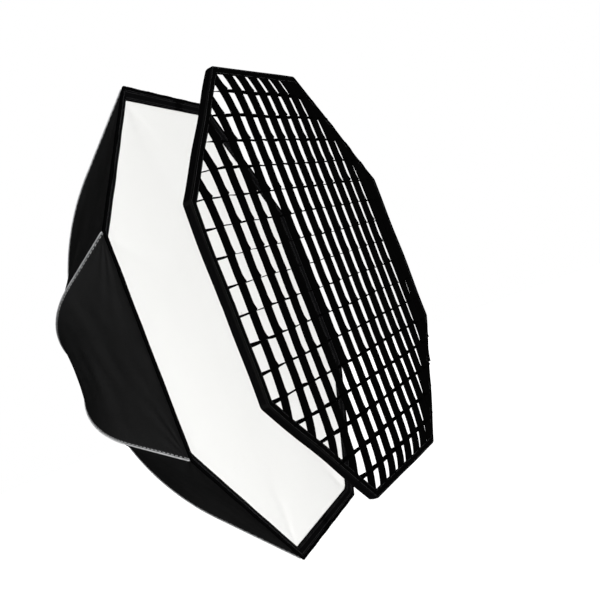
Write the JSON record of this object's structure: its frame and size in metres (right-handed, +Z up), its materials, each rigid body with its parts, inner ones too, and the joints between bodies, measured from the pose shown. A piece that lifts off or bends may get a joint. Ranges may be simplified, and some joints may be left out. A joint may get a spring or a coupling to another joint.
{
  "type": "octabox",
  "caption": "Eight-sided folding softbox with bent ribs, recessed white front diffuser, detachable egg-crate grid and a clamping ring adapter.",
  "frame": {"origin": "on the octabox axis, at the middle of the adapter collar's length", "axes": "+Y along the axis towards the flash head, front faces -Y, +Z up"},
  "size_m": [1.3858, 0.9662, 1.3858],
  "materials": {
    "ring_metal": "satin",
    "zinc_steel": "zinc plated",
    "knob_metal": "knurled",
    "cast_metal": "tumbled",
    "black_plastic": "matte",
    "black_webbing": "webbing",
    "hook_tape": "hook and loop",
    "white_diffuser": "translucent nylon",
    "elastic": "elastic",
    "black_shell_fabric": "coated nylon",
    "silver_piping": "reflective",
    "rod_fibreglass": "glassfibre",
    "grid_fabric": "matte nylon"
  },
  "bodies": {
    "adapter": {"adapter_ring": "ring_metal", "clamp_ear_knob_side": "ring_metal", "clamp_ear_nut_side": "ring_metal", "ear_rivets": "ring_metal", "clamp_nut": "zinc_steel", "clamp_spring": "zinc_steel"},
    "clamp_washer": {"clamp_washer": "zinc_steel"},
    "clamp_screw": {"clamp_screw": "zinc_steel", "clamp_knob": "knob_metal"},
    "octabox": {"speedring": "cast_metal", "rod_sockets": "cast_metal", "tab_screws": "zinc_steel", "rod_tips": "black_plastic", "corner_pockets": "black_webbing", "rim_hem": "black_webbing", "front_border": "black_webbing", "border_hook_tape": "hook_tape", "front_diffuser": "white_diffuser", "inner_diffuser": "white_diffuser", "inner_straps": "elastic", "strap_loops": "elastic", "rear_collar": "black_webbing", "shell_gore_1": "black_shell_fabric", "shell_gore_2": "black_shell_fabric", "shell_gore_3": "black_shell_fabric", "shell_gore_4": "black_shell_fabric", "shell_gore_5": "black_shell_fabric", "shell_gore_6": "black_shell_fabric", "shell_gore_7": "black_shell_fabric", "shell_gore_8": "black_shell_fabric", "seam_piping_1": "silver_piping", "seam_piping_2": "silver_piping", "seam_piping_3": "silver_piping", "seam_piping_4": "silver_piping", "seam_piping_5": "silver_piping", "seam_piping_6": "silver_piping", "seam_piping_7": "silver_piping", "seam_piping_8": "silver_piping", "rib_rod_1": "rod_fibreglass", "rib_rod_2": "rod_fibreglass", "rib_rod_3": "rod_fibreglass", "rib_rod_4": "rod_fibreglass", "rib_rod_5": "rod_fibreglass", "rib_rod_6": "rod_fibreglass", "rib_rod_7": "rod_fibreglass", "rib_rod_8": "rod_fibreglass"},
    "grid_edge": {"grid_edge_tape": "hook_tape"},
    "grid": {"grid_border": "grid_fabric", "grid_loop_tape": "hook_tape", "grid_vertical_strips": "grid_fabric", "grid_horizontal_strips": "grid_fabric"},
    "tab_1": {"retaining_tab_1": "zinc_steel"},
    "tab_2": {"retaining_tab_2": "zinc_steel"},
    "tab_3": {"retaining_tab_3": "zinc_steel"},
    "tab_4": {"retaining_tab_4": "zinc_steel"}
  },
  "joints": [
    {"name": "octabox_spin", "type": "hinge", "parent": "adapter", "child": "octabox", "pos_m": [0, 0, 0], "axis": [0, 1, 0], "continuous": true},
    {"name": "clamp_travel", "type": "slide", "parent": "adapter", "child": "clamp_washer", "axis": [1, 0, 0], "range_m": [0, 0.004]},
    {"name": "clamp_turn", "type": "hinge", "parent": "clamp_washer", "child": "clamp_screw", "pos_m": [0, 0.0035, 0.068], "axis": [1, 0, 0], "range_deg": [0, 1440]},
    {"name": "grid_lift_off", "type": "slide", "parent": "octabox", "child": "grid_edge", "axis": [-0.3374, 0.932, -0.1327], "range_m": [-0.05, 0.1808]},
    {"name": "grid_swing", "type": "hinge", "parent": "grid_edge", "child": "grid", "pos_m": [-0.57333, -0.74568, 0.024], "axis": [0, 0, 1], "range_deg": [-9, 8.5]},
    {"name": "tab_1_turn", "type": "hinge", "parent": "octabox", "child": "tab_1", "pos_m": [0.086, -0.0227, 0], "axis": [0, 1, 0], "range_deg": [0, 95]},
    {"name": "tab_2_turn", "type": "hinge", "parent": "octabox", "child": "tab_2", "pos_m": [0, -0.0227, 0.086], "axis": [0, 1, 0], "range_deg": [0, 95]},
    {"name": "tab_3_turn", "type": "hinge", "parent": "octabox", "child": "tab_3", "pos_m": [-0.086, -0.0227, 0], "axis": [0, 1, 0], "range_deg": [0, 95]},
    {"name": "tab_4_turn", "type": "hinge", "parent": "octabox", "child": "tab_4", "pos_m": [0, -0.0227, -0.086], "axis": [0, 1, 0], "range_deg": [0, 95]}
  ],
  "couplings": [
    {"joint": "clamp_turn", "follows": "clamp_travel", "rad_per_m": 6283.2}
  ]
}
